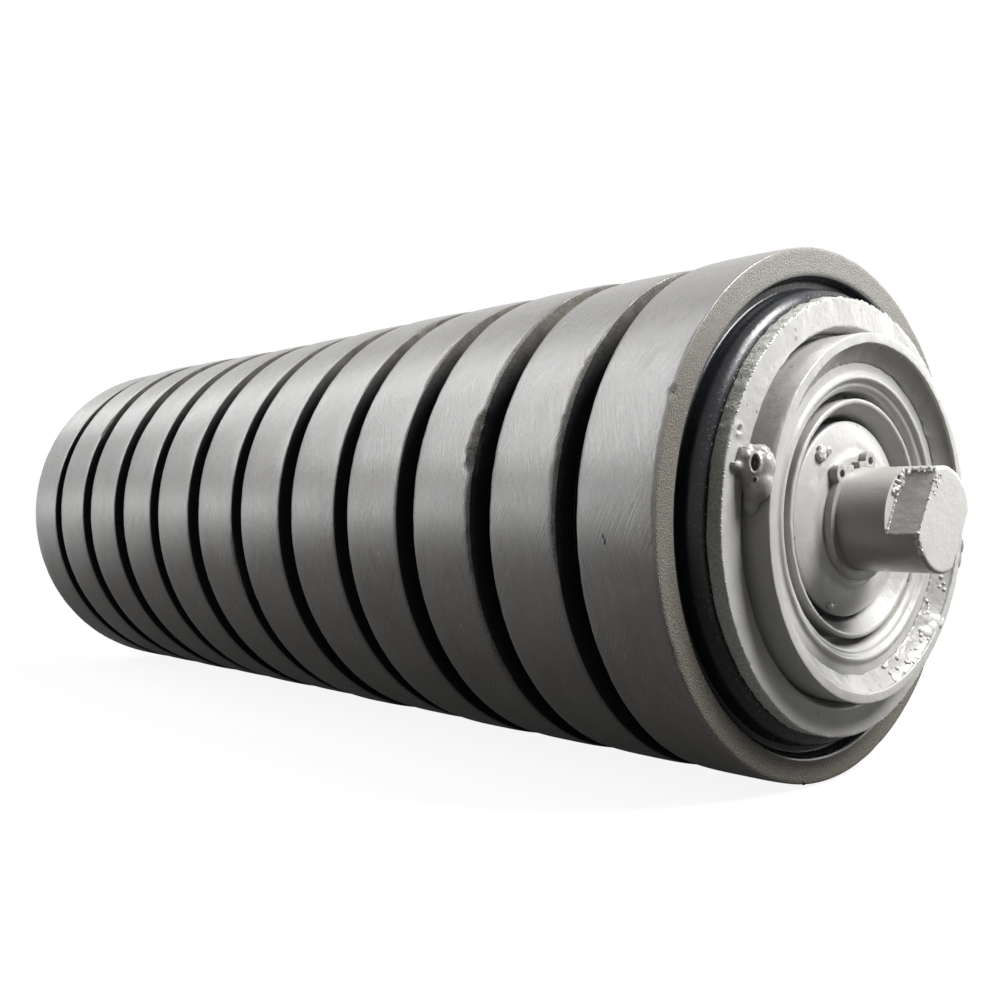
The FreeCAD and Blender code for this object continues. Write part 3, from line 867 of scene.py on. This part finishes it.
class ROLLER_OT_tack_welds(bpy.types.Operator):
    """Models the lumpy tack welds between the collars and the tube"""
    bl_idname = "roller.tack_welds"
    bl_label = "Tack Welds"

    def execute(self, context):
        new_ends(tack_weld, "tack_weld_", ("weld_enamel",), "roller", "weld_steel", "collar_weld_")
        return {"FINISHED"}


# Spatter in the tube's mouth: number, angles in degrees, and the range of radius in mm and of flatness
SPATTER = ((30, (-160, -100), (0.25, 0.75), (0.5, 0.9)), (9, (-142, -104), (1.0, 2.1), (0.15, 0.25)))
# Nubs at the top of the tube's rim: (angle in degrees, radius in mm)
RIM_NUBS = ((91, 0.5), (106, 0.6), (97, 0.35))


def spatter(size, seed):
    """Bubbles of weld spatter under the paint inside the tube's mouth, and nubs at the top of its rim."""
    bm = bmesh.new()
    luck = random.Random(seed)
    wall = TUBE_HIGH.z - size.tube_wall
    for count, angles, radii, flats in SPATTER:
        for _ in range(count):
            turn = math.radians(luck.uniform(*angles))
            depth = luck.uniform(0.6, 3.5)
            inward = max(0.0, depth - 0.7) * 1.1 + max(0.0, depth - 2.25) * 0.5
            facing = (at(0, -1, turn) + Vector((1, 0, 0))).normalized()
            place = at(TUBE_HIGH.x - depth * MM, wall - inward * MM, turn)
            add_drop(bm, place, luck.uniform(*radii) * MM, luck.uniform(*flats), facing)
    merged(bm, 0.2 * MM)
    smoothed(bm, 2)
    for angle, nub in RIM_NUBS:
        turn = math.radians(angle)
        add_drop(bm, at(TUBE_HIGH.x - 0.9 * MM, wall, turn), nub * MM, 1.2, at(0, -1, turn))
    return bm


def welded_tube(size):
    """The tube, with eased and slightly wavy rims and weld spatter in its mouths."""
    end, radius, wall = TUBE_HIGH.x, TUBE_HIGH.z, TUBE_HIGH.z - size.tube_wall
    covered = COLLAR_LOW.x - 4 * MM
    inner_round = size.rim_round * 0.6
    corners = [(-end, wall, inner_round), (-end, radius, size.rim_round), (-covered, radius, 0)]
    corners += [(covered, radius, 0), (end, radius, size.rim_round), (end, wall, inner_round)]
    corners += [(covered, wall, 0), (-covered, wall, 0)]
    bm = turned(corners, size.segments, 0.7 * MM, lambda x, radius: abs(x) > covered + MM)

    def shape(point, x, radius, turn):
        out = max(0.0, (abs(x) - covered) / (end - covered))
        wave = 0.1 * MM * lumps(point, 9 * MM, 3) + 0.04 * MM * lumps(point, 2.5 * MM, 4)
        rim = max(0.0, 1 - (end - abs(x)) / (1.5 * MM))
        wave += rim * 0.12 * MM * lumps(point, 1.1 * MM, 6)
        x += math.copysign(rim * 0.15 * MM * lumps(point, 5 * MM, 5), x)
        return x, radius + out * wave

    sculpt(bm, shape)
    for seed, end_name in enumerate(ENDS):
        drops = spatter(size, seed)
        painted(drops, 1)
        to_end(drops, end_name)
        join(bm, drops)
    return bm


class ROLLER_OT_tube(bpy.types.Operator):
    """Models the steel tube that carries the rings"""
    bl_idname = "roller.tube"
    bl_label = "Tube"

    def execute(self, context):
        bm = welded_tube(context.scene.roller_steel)
        new_piece(bm, "welded_tube", ("glossy_enamel", "spatter_enamel"), "roller", "painted_steel", "tube")
        return {"FINISHED"}


def pressed_housing(size, seed):
    """Bearing housing: a skirt that folds over a crest, with two pressed ridges, into the bearing's seat."""
    outer = HOUSING_HIGH.z
    seat = CUP_HIGH.z
    crest = HOUSING_HIGH.x
    skirt_inner = outer - size.sheet
    seat_outer = seat + size.sheet
    skirt_end = crest - 12 * MM
    base = HOUSING_LOW.x
    corners = [(skirt_end, outer, 0), (crest - 3 * MM, outer, 0), (crest, outer - 3 * MM, 1.4 * MM)]
    corners += [(crest, seat + 4.4 * MM, 0.5 * MM), (crest + 0.7 * MM, seat + 3.7 * MM, 0.5 * MM)]
    corners += [(crest + 0.6 * MM, seat + 2.8 * MM, 0.5 * MM), (crest - 0.5 * MM, seat + 2.1 * MM, 0.4 * MM)]
    corners += [(crest - 0.5 * MM, seat + 1.3 * MM, 0.4 * MM), (crest - 1.4 * MM, seat + 0.2 * MM, 0.5 * MM)]
    corners += [(crest - 3 * MM, seat, 0)]
    corners += [(base + size.sheet, seat, 0), (base + size.sheet, 17.5 * MM, 0), (base, 17.5 * MM, 0)]
    corners += [(base, seat_outer, 0), (crest - 4.2 * MM, seat_outer, 0)]
    corners += [(crest - size.sheet, (seat_outer + skirt_inner) / 2, 0), (crest - 4.2 * MM, skirt_inner, 0)]
    corners += [(skirt_end, skirt_inner, 0)]
    bm = turned(corners, size.segments, 0.5 * MM, lambda x, radius: x > crest - 3.5 * MM)

    def shape(point, x, radius, turn):
        front = max(0.0, 1 - (crest - x) / (4 * MM))
        low = 0.4 + bell(turn, -90, 70)
        x += front * size.ripple * (lumps(point, 14 * MM, seed) + low * lumps(point, 4.5 * MM, seed + 2))
        return x, radius

    sculpt(bm, shape)
    return bm


def housing_bead(size, seed):
    """Hollow weld all round between the tube's mouth and the housing's crest, with a ragged foot."""
    outer = HOUSING_HIGH.z
    crest = HOUSING_HIGH.x
    foot = outer - 4.2 * MM
    corners = [(crest - 3 * MM, outer, 0), (TUBE_HIGH.x - 0.7 * MM, outer, 0)]
    corners += [(crest + 1.75 * MM, outer - 1.7 * MM, 1.6 * MM)]
    corners += [(crest + 0.2 * MM, foot, 0.15 * MM), (crest - 0.5 * MM, foot + 0.3 * MM, 0)]
    bm = turned(corners, size.segments + 80, 0.45 * MM, lambda x, radius: x > crest - 0.1 * MM)

    def shape(point, x, radius, turn):
        inward = max(0.0, min(1.0, (outer - radius) / (outer - foot)))
        ragged = 0.35 * lumps(point, 3.5 * MM, seed) + 0.3 * lumps(point, 1.1 * MM, seed + 1)
        radius += inward ** 3 * ragged * MM
        x += inward * 0.25 * MM * lumps(point, 4 * MM, seed + 2)
        x += inward ** 4 * 0.12 * MM * lumps(point, 0.9 * MM, seed)
        return x, min(radius, outer)

    sculpt(bm, shape)
    return bm


class ROLLER_OT_housings(bpy.types.Operator):
    """Models the pressed bearing housings and the welds that hold them in the tube"""
    bl_idname = "roller.housings"
    bl_label = "Bearing Housings"

    def execute(self, context):
        size = context.scene.roller_steel
        for seed, end in enumerate(ENDS):
            housing = pressed_housing(size, seed + 11)
            bead = housing_bead(size, seed + 21)
            to_end(housing, end)
            to_end(bead, end)
            new_piece(housing, "pressed_housing_" + end, ("glossy_enamel",), "roller", "painted_steel",
                      "bearing_housing_" + end)
            # the bead's darker weld enamel is partly painted shade for the shaded mouth of the tube
            new_piece(bead, "housing_bead_" + end, ("weld_enamel",), "roller", "weld_steel",
                      "housing_weld_" + end)
        return {"FINISHED"}


def seal_cup(size, seed):
    """Outer half of the labyrinth seal, whose flared lip shows."""
    seat = CUP_HIGH.z
    lip = seat - size.lip_gap
    lip_inner = lip - size.lip_wall
    mouth = COVER_HIGH.z + 1 * MM
    back, front = CUP_LOW.x, CUP_HIGH.x
    corners = [(back, seat - 4 * MM, 0), (back, seat, 0)]
    corners += [(back + 5.5 * MM, seat, 0), (back + 5.5 * MM, lip, 0)]
    corners += [(front, lip, 0.5 * MM), (front, lip_inner, 0.5 * MM), (front - 4.7 * MM, mouth, 1.5 * MM)]
    corners += [(back + 2.6 * MM, mouth, 0), (back + 2.6 * MM, 18.6 * MM, 0), (back + 6.5 * MM, 18.6 * MM, 0)]
    corners += [(back + 6.5 * MM, 16 * MM, 0), (back + 0.6 * MM, 16 * MM, 0)]
    corners += [(back + 0.6 * MM, seat - 4 * MM, 0)]
    bm = turned(corners, size.segments, 0.5 * MM,
                lambda x, radius: x > back + 6 * MM and radius > mouth - 0.1 * MM)

    def shape(point, x, radius, turn):
        front_part = max(0.0, 1 - (front - x) / (5 * MM))
        radius += front_part * 0.1 * MM * (lumps(point, 10 * MM, seed) + 0.5 * lumps(point, 2 * MM, seed + 1))
        x += front_part ** 3 * 0.12 * MM * lumps(point, 4 * MM, seed + 2)
        return x, radius

    sculpt(bm, shape)
    return bm


class ROLLER_OT_seal_cups(bpy.types.Operator):
    """Models the seal cups with their flared lips"""
    bl_idname = "roller.seal_cups"
    bl_label = "Seal Cups"

    def execute(self, context):
        new_ends(lambda seed: seal_cup(context.scene.roller_steel, seed + 31), "seal_cup_",
                 ("glossy_enamel",), "roller", "painted_steel", "labyrinth_cup_")
        return {"FINISHED"}


# Nubs of paint on a dust cover: (angle in degrees, radius from the axis in mm, size in mm, height)
COVER_NUBS = ((46, 20.8, 1.6, 0.8), (53, 20.2, 1.5, 0.9), (50, 21.6, 1.3, 0.8),
              (-67, 22.6, 1.1, 0.8), (-70, 22.2, 0.8, 0.8))


def domed_cover(size, seed):
    """Dust cover: a dome with a low boss round the shaft, and nubs of paint on its rim."""
    back, top, rim = COVER_LOW.x, COVER_HIGH.x, COVER_HIGH.z
    face = top - 0.9 * MM
    bore = SHAFT_HIGH.z
    corners = [(back, bore, 0), (top, bore, 0.2 * MM), (top, bore + 3 * MM, 0.5 * MM)]
    corners += [(face, bore + 4.2 * MM, 0.9 * MM), (face, rim - 3.4 * MM, 2.6 * MM)]
    corners += [(back + 0.8 * MM, rim, 0.4 * MM), (back, rim, 0.2 * MM)]
    bm = turned(corners, size.segments, 0.5 * MM, lambda x, radius: x > back + 0.1 * MM)

    def shape(point, x, radius, turn):
        front = max(0.0, (x - back) / (top - back))
        x += front * 0.1 * MM * (lumps(point, 7 * MM, seed) + 0.4 * lumps(point, 2 * MM, seed + 1))
        return x, radius

    sculpt(bm, shape)
    nubs = bmesh.new()
    for angle, radius, nub, height in COVER_NUBS:
        fall = (radius * MM - rim + 3.4 * MM) / (3.4 * MM)
        x = face - max(0.0, fall) * (face - back - 0.8 * MM)
        add_drop(nubs, at(x, radius * MM, math.radians(angle)), nub * MM, height)
    merged(nubs, 0.2 * MM)
    smoothed(nubs)
    for vert in nubs.verts:
        vert.co += 0.35 * MM * lumps(vert.co, 1.4 * MM, seed) * Vector((1, 0, 0))
    join(bm, nubs)
    return bm


class ROLLER_OT_dust_covers(bpy.types.Operator):
    """Models the domed dust covers"""
    bl_idname = "roller.dust_covers"
    bl_label = "Dust Covers"

    def execute(self, context):
        new_ends(lambda seed: domed_cover(context.scene.roller_steel, seed + 41), "domed_cover_",
                 ("glossy_enamel",), "shaft", "painted_steel", "dust_cover_")
        return {"FINISHED"}


def spring_clip(node):
    """The circlip with its edges softened by paint."""
    bm = bmesh.new()
    bm.from_mesh(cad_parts[node].data)
    bmesh.ops.remove_doubles(bm, verts=bm.verts[:], dist=0.002 * MM)
    bmesh.ops.dissolve_limit(bm, angle_limit=math.radians(1), verts=bm.verts[:], edges=bm.edges[:])
    edges = [edge for edge in bm.edges if edge.is_manifold and edge.calc_face_angle() > math.radians(40)]
    bmesh.ops.bevel(bm, geom=edges, offset=0.25 * MM, offset_type="OFFSET", affect="EDGES", segments=3,
                    profile=0.5, material=-1, clamp_overlap=True)
    bmesh.ops.triangulate(bm, faces=[face for face in bm.faces if len(face.verts) > 4])
    return bm


class ROLLER_OT_circlips(bpy.types.Operator):
    """Models the circlips in front of the dust covers"""
    bl_idname = "roller.circlips"
    bl_label = "Circlips"

    def execute(self, context):
        for end in ENDS:
            bm = spring_clip("circlip_" + end)
            # the circlips wear the darker weld enamel as painted shade, for the shaft's shadow
            new_piece(bm, "spring_clip_" + end, ("weld_enamel",), "shaft", "painted_steel", "circlip_" + end)
        return {"FINISHED"}


# Drops that make the slag and the ridge of paint on a flat
SLAG_DROPS = 60
RIDGE_DROPS = 90


def flat_point(size, x, across, height):
    """Point over the right-hand front flat: along the shaft, across the flat, and above it."""
    lean = size.flat_lean
    return Vector((x, 0, 0)) + at(0, size.flat_across / 2 + height, lean) + at(0, across, lean + math.pi / 2)


def flat_burrs(size, seed, sawn):
    """Ridge of paint along the shoulder of a flat and, where it is sawn, slag in its corner and end."""
    end, radius = SHAFT_HIGH.x, SHAFT_HIGH.z
    start = end - size.flat_length
    half = math.sqrt(radius ** 2 - (size.flat_across / 2) ** 2)
    luck = random.Random(seed)
    bm = bmesh.new()

    def ridge(across):
        return start + 0.15 * MM + 2.2 * MM * max(0.0, across / half) ** 1.7

    def lump(x, across, height, smallest, largest):
        drop = smallest + (largest - smallest) * luck.random() ** 2
        add_drop(bm, flat_point(size, x, across, height), drop * MM, luck.uniform(0.6, 1.0))

    for index in range(RIDGE_DROPS):
        part = index / (RIDGE_DROPS - 1)
        across = (2 * part - 1) * half * 0.97
        add_drop(bm, flat_point(size, ridge(across), across, 0), luck.uniform(0.3, 0.36) * MM)
        if index % 4 == 0:
            lump(start + part * 5 * MM, -half, -0.05 * MM, 0.12, 0.22)
    for _ in range(SLAG_DROPS if sawn else 0):
        across = luck.uniform(0.8, 8.0) * MM
        part = luck.random()
        top = math.sqrt(radius ** 2 - across ** 2) - size.flat_across / 2
        height = max(0.0, top * (1 - part) * luck.uniform(0.1, 0.9))
        lump(start + part * (ridge(across) - start), across, height, 0.25, 0.75)
        lump(luck.uniform(start + 2.2 * MM, end - 0.2 * MM), half - luck.uniform(0, 1.2) * MM, 0, 0.2, 0.5)
        lump(end - 0.03 * MM, luck.uniform(2.5, 8) * MM, -luck.uniform(0, 2.6) * MM, 0.15, 0.4)
        lump(end - 0.1 * MM, luck.uniform(-8.4, 3) * MM, -luck.uniform(0, 0.2) * MM, 0.1, 0.3)
        turn = size.flat_lean - math.radians(luck.uniform(42, 70))
        place = at(end - luck.uniform(0.15, 1.0) * MM, radius - 0.3 * MM, turn)
        add_drop(bm, place, luck.uniform(0.15, 0.5) * MM)
    merged(bm, 0.16 * MM)
    bm.normal_update()
    for vert in bm.verts:
        rough = 0.2 * lumps(vert.co, 0.9 * MM, seed) + 0.12 * lumps(vert.co, 0.45 * MM, seed)
        vert.co += vert.normal * MM * rough
    smoothed(bm)
    painted(bm, 1)
    return bm


def shaft_bar(size):
    """The shaft, with flats milled on both ends and paint and burrs caught along their edges."""
    end, radius = SHAFT_HIGH.x, SHAFT_HIGH.z
    start = end - size.flat_length
    step = 0.05 * MM
    hidden = CLIP_LOW.x - 4 * MM
    stations = (hidden, start - step, start + step)
    corners = [(-end, 0, 0), (-end, radius, 0.8 * MM)]
    corners += [(-x, radius, 0) for x in reversed(stations)] + [(x, radius, 0) for x in stations]
    corners += [(end, radius, 0.8 * MM), (end, 0, 0)]
    bm = turned(corners, 200, 0.55 * MM, lambda x, radius: abs(x) > hidden)
    for side in (1, -1):
        for lean in (size.flat_lean, size.flat_lean + math.pi):
            normal = at(0, 1, lean)
            normal.y *= side
            level = normal * size.flat_across / 2
            tip = [face for face in bm.faces if face.calc_center_median().x * side > start]
            geometry = dict.fromkeys(tip)
            for face in tip:
                geometry.update(dict.fromkeys([*face.verts, *face.edges]))
            bmesh.ops.bisect_plane(bm, geom=list(geometry), dist=0.002 * MM, plane_co=level, plane_no=normal)
            for vert in bm.verts:
                proud = (vert.co - level).dot(normal)
                if vert.co.x * side > start and proud > 0:
                    vert.co -= normal * proud
    bmesh.ops.remove_doubles(bm, verts=bm.verts[:], dist=0.01 * MM)
    bmesh.ops.dissolve_degenerate(bm, edges=bm.edges[:], dist=0.004 * MM)
    bmesh.ops.recalc_face_normals(bm, faces=bm.faces[:])
    bm.normal_update()
    for vert in bm.verts:
        rough = 0.03 * lumps(vert.co, 3 * MM, 8) + 0.015 * lumps(vert.co, 1.1 * MM, 9)
        vert.co += vert.normal * MM * rough
    for seed, end_name in enumerate(ENDS):
        for turned_round in (False, True):
            burrs = flat_burrs(size, 2 * seed + turned_round + 60, not turned_round)
            if turned_round:
                half_turn(burrs, "X")
            to_end(burrs, end_name)
            join(bm, burrs)
    return bm


class ROLLER_OT_shaft(bpy.types.Operator):
    """Models the fixed shaft with its milled flats"""
    bl_idname = "roller.shaft"
    bl_label = "Shaft"

    def execute(self, context):
        bm = shaft_bar(context.scene.roller_steel)
        new_piece(bm, "shaft_bar", ("shaft_enamel", "spatter_enamel"), "shaft", "painted_steel", "shaft")
        return {"FINISHED"}


INNER_FINISHES = {
    "bearing_outer_race": "ground_steel",
    "bearing_inner_race": "ground_steel",
    "bearing_balls": "ground_steel",
    "bearing_cage": "pressed_cage_steel",
    "inner_seal": "seal_plastic",
    "labyrinth_ring": "seal_plastic",
}


class ROLLER_OT_inner_pieces(bpy.types.Operator):
    """Finishes the pieces inside the bearing ends"""
    bl_idname = "roller.inner_pieces"
    bl_label = "Inner Pieces"

    def execute(self, context):
        for piece, finish_name in INNER_FINISHES.items():
            for end in ENDS:
                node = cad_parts[piece + "_" + end]
                node.data.materials.clear()
                node.data.materials.append(finish(finish_name))
        return {"FINISHED"}


def shown(graph, seen, mirrored):
    """Brightness of the surroundings: one level to the eye and another off gloss or through glass."""
    path = graph.add("LightPath").outputs
    indirect = graph.maths("MAXIMUM", path["Is Glossy Ray"], path["Is Transmission Ray"])
    direct = graph.maths("MULTIPLY", path["Is Camera Ray"], seen)
    return graph.maths("MAXIMUM", direct, graph.maths("MULTIPLY", indirect, mirrored))


FLOOR_SIZE = 30.0
FLOOR_GAP = 0.3 * MM


def make_floor(stage):
    """Pale floor at the foot of the rings; it keeps the roller's shadow."""
    bm = bmesh.new()
    bmesh.ops.create_grid(bm, x_segments=1, y_segments=1, size=FLOOR_SIZE,
                          matrix=Matrix.Translation((0, 0, -RING_HIGH.z - FLOOR_GAP)))
    mesh = bpy.data.meshes.new("floor")
    bm.to_mesh(mesh)
    bm.free()
    material, graph, surface = new_finish("pale_floor", Roughness=1.0, Specular_IOR_Level=0.0,
                                          Base_Color=(stage.floor, stage.floor, stage.floor, 1))
    away = graph.vector("LENGTH", graph.add("TexCoord").outputs["Object"])["Value"]
    seen = graph.add("MapRange", away, 0.35, 1.6, 1 - stage.floor, 1.0).outputs[0]
    mirrored = graph.add("MapRange", away, 0.25, 0.7, stage.floor_near, stage.floor_far).outputs[0]
    plug(graph, surface, Emission_Color=(1, 1, 1, 1), Emission_Strength=shown(graph, seen, mirrored))
    mesh.materials.append(material)
    floor = bpy.data.objects.new("floor", mesh)
    bpy.context.scene.collection.objects.link(floor)


def make_lamp(name, place, target, width, depth, power):
    """A soft rectangular lamp that faces a target."""
    data = bpy.data.lights.new(name, "AREA")
    data.shape = "RECTANGLE"
    data.size, data.size_y = width, depth
    data.energy = power
    lamp = bpy.data.objects.new(name, data)
    lamp.location = place
    lamp.rotation_euler = (Vector(target) - Vector(place)).to_track_quat("-Z", "Y").to_euler()
    bpy.context.scene.collection.objects.link(lamp)


def make_world(stage):
    """White surroundings to the eye, dim ones to matt surfaces."""
    world = bpy.data.worlds.new("white_studio")
    world.use_nodes = True
    graph = Graph(world.node_tree)
    background = world.node_tree.nodes["Background"]
    background.inputs["Color"].default_value = (1, 1, 1, 1)
    strength = graph.maths("MAXIMUM", shown(graph, 1.0, stage.mirrored), stage.ambient)
    graph.tree.links.new(strength, background.inputs["Strength"])
    bpy.context.scene.world = world


# Lamps, each with its setting's name, its place and target, and its width and depth
LAMPS = (
    ("overhead", (-1.55, -0.22, 1.05), (-1.55, -0.15, 0), 2.9, 0.35),
    ("front", (-1.0, -1.1, 1.1), (0, 0, 0), 1.0, 1.3),
    ("side", (-1.9, -1.2, 0.16), (-1.9, 0, 0.12), 2.8, 0.36),
    ("end", (0.5, 0.17, 0.45), (0.19, 0, 0), 0.26, 0.26),
    ("back", (0.4, 1.6, 0.45), (0, 0, 0), 1.2, 0.6),
)


class ROLLER_OT_stage(bpy.types.Operator):
    """Sets the floor, the soft lights and the camera"""
    bl_idname = "roller.stage"
    bl_label = "Stage"

    def execute(self, context):
        stage = context.scene.roller_stage
        make_floor(stage)
        make_world(stage)
        for name, *shape in LAMPS:
            make_lamp(name + "_lamp", *shape, getattr(stage, name))
        data = bpy.data.cameras.new("camera")
        data.sensor_width = 36.0
        data.lens = stage.lens
        data.shift_y = stage.shift
        data.clip_start = 0.01
        camera = bpy.data.objects.new("camera", data)
        level = math.cos(stage.elevation)
        back = Vector((math.sin(stage.azimuth) * level, -math.cos(stage.azimuth) * level,
                       math.sin(stage.elevation)))
        camera.location = stage.camera_place
        camera.rotation_euler = (-back).to_track_quat("-Z", "Y").to_euler()
        context.scene.collection.objects.link(camera)
        context.scene.camera = camera
        context.scene.view_settings.view_transform = "Standard"
        return {"FINISHED"}


OPERATORS = (ROLLER_OT_rubber_rings, ROLLER_OT_end_collars, ROLLER_OT_tack_welds, ROLLER_OT_tube,
             ROLLER_OT_housings, ROLLER_OT_seal_cups, ROLLER_OT_dust_covers, ROLLER_OT_circlips,
             ROLLER_OT_shaft, ROLLER_OT_inner_pieces, ROLLER_OT_stage)
SETTINGS = {"roller_rings": RingSettings, "roller_steel": SteelSettings, "roller_finish": FinishSettings,
            "roller_stage": StageSettings}


class ROLLER_PT_panel(bpy.types.Panel):
    """Lists the roller's pieces and settings"""
    bl_idname = "ROLLER_PT_panel"
    bl_label = "Impact Roller"
    bl_space_type = "VIEW_3D"
    bl_region_type = "UI"
    bl_category = "Roller"

    def draw(self, context):
        for operator in OPERATORS:
            self.layout.operator(operator.bl_idname)
        for setting in SETTINGS:
            group = getattr(context.scene, setting)
            box = self.layout.box()
            for name in group.bl_rna.properties.keys():
                if name not in ("rna_type", "name"):
                    box.prop(group, name)


def register():
    for group in SETTINGS.values():
        bpy.utils.register_class(group)
    for name, group in SETTINGS.items():
        setattr(bpy.types.Scene, name, PointerProperty(type=group))
    for operator in OPERATORS:
        bpy.utils.register_class(operator)
    bpy.utils.register_class(ROLLER_PT_panel)


def unregister():
    bpy.utils.unregister_class(ROLLER_PT_panel)
    for operator in reversed(OPERATORS):
        bpy.utils.unregister_class(operator)
    for name, group in SETTINGS.items():
        delattr(bpy.types.Scene, name)
        bpy.utils.unregister_class(group)


def main():
    """Makes every piece and the stage."""
    register()
    for operator in OPERATORS:
        group, action = operator.bl_idname.split(".")
        getattr(getattr(bpy.ops, group), action)()


if __name__ == "__main__":
    main()
